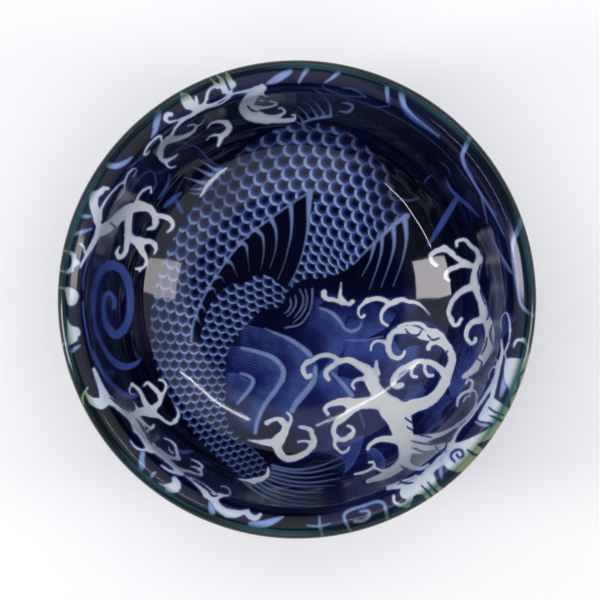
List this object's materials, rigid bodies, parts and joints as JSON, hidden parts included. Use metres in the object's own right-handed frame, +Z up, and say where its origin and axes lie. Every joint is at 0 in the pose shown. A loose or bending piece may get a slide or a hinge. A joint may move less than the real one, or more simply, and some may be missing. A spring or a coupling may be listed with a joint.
{
  "type": "teacup",
  "caption": "Handleless porcelain tea cup: a wide bowl with a flared lip on a turned foot ring, with a carp and waves in cobalt blue under clear glaze.",
  "frame": {"origin": "centre of the foot ring's standing face, on the table", "axes": "+Z up along the cup's axis of turning; +Y is the top of the picture inside the bowl"},
  "size_m": [0.095, 0.095, 0.052],
  "materials": {
    "fired_clay": "matt unglazed porcelain",
    "cobalt_transfer": "cobalt pigment under glaze",
    "inside_glaze": "glossy clear glaze over cobalt",
    "lip_glaze": "glossy green-tinted glaze",
    "outside_glaze": "glossy clear glaze over cobalt",
    "foot_well_glaze": "glossy clear glaze over white clay"
  },
  "bodies": {
    "root": {"clay_body": "fired_clay", "foot_ring": "fired_clay", "inside_transfer": "cobalt_transfer", "outside_transfer": "cobalt_transfer", "inside_glaze": "inside_glaze", "lip_glaze": "lip_glaze", "outside_glaze": "outside_glaze", "foot_well_glaze": "foot_well_glaze"}
  },
  "joints": []
}
